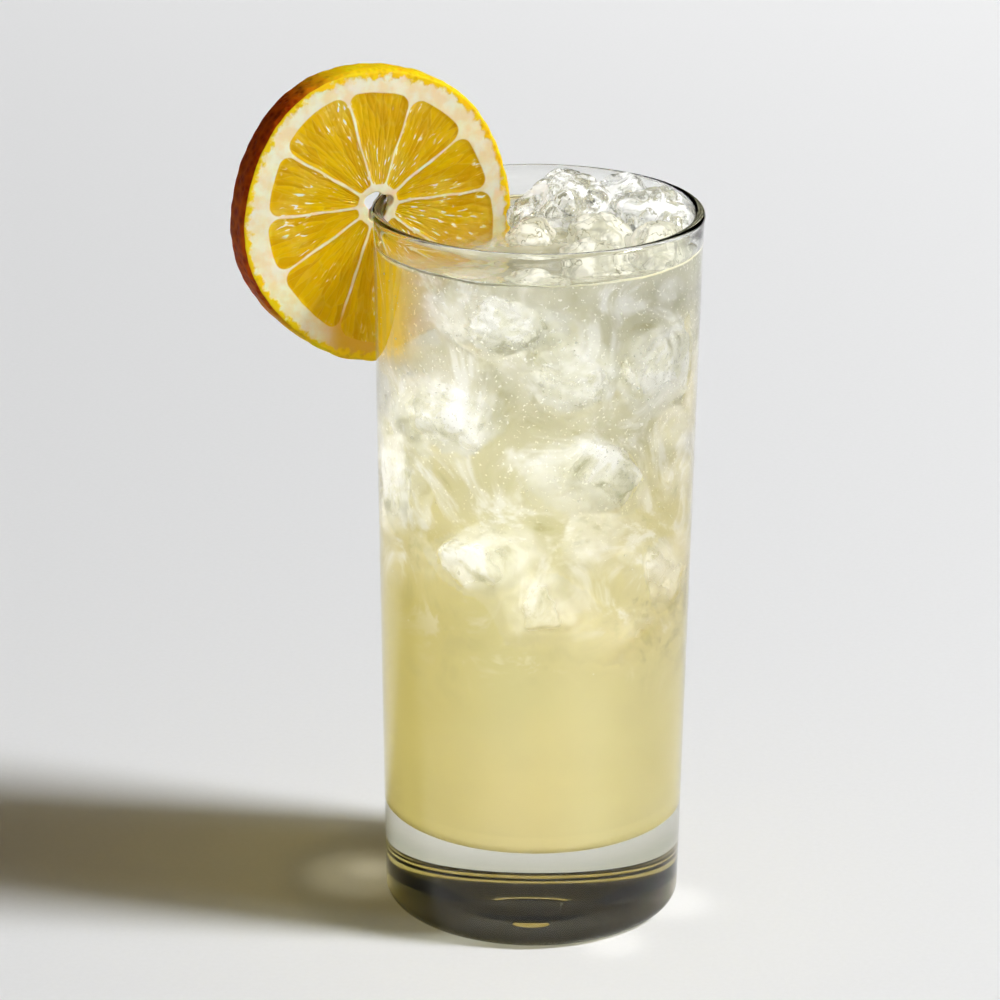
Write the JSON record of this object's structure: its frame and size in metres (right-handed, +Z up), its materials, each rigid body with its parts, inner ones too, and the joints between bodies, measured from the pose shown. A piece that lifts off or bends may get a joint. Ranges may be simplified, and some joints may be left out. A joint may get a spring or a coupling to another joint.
{
  "type": "glass of vodka sling",
  "caption": "Tall straight glass of pale cloudy mixed drink with cracked ice and a lemon wheel slit over the rim.",
  "frame": {"origin": "on the glass's axis, in the plane of the underside that it stands on", "axes": "+Z up along the glass's axis; -X towards the lemon wheel on the rim; -Y is the side that shows the wheel's front face"},
  "size_m": [0.0957, 0.0672, 0.1783],
  "materials": {
    "glass": "clear, fire-polished",
    "drink": "cloudy pale yellow liquid",
    "lemon": "wet cut lemon flesh with waxy rind",
    "ice": "wet clear ice, cracked inside"
  },
  "bodies": {
    "root": {"glass": "glass", "drink": "drink", "lemon_wheel": "lemon", "ice_1": "ice", "ice_2": "ice", "ice_3": "ice", "ice_4": "ice", "ice_5": "ice", "ice_6": "ice", "ice_7": "ice", "ice_8": "ice"}
  },
  "joints": []
}
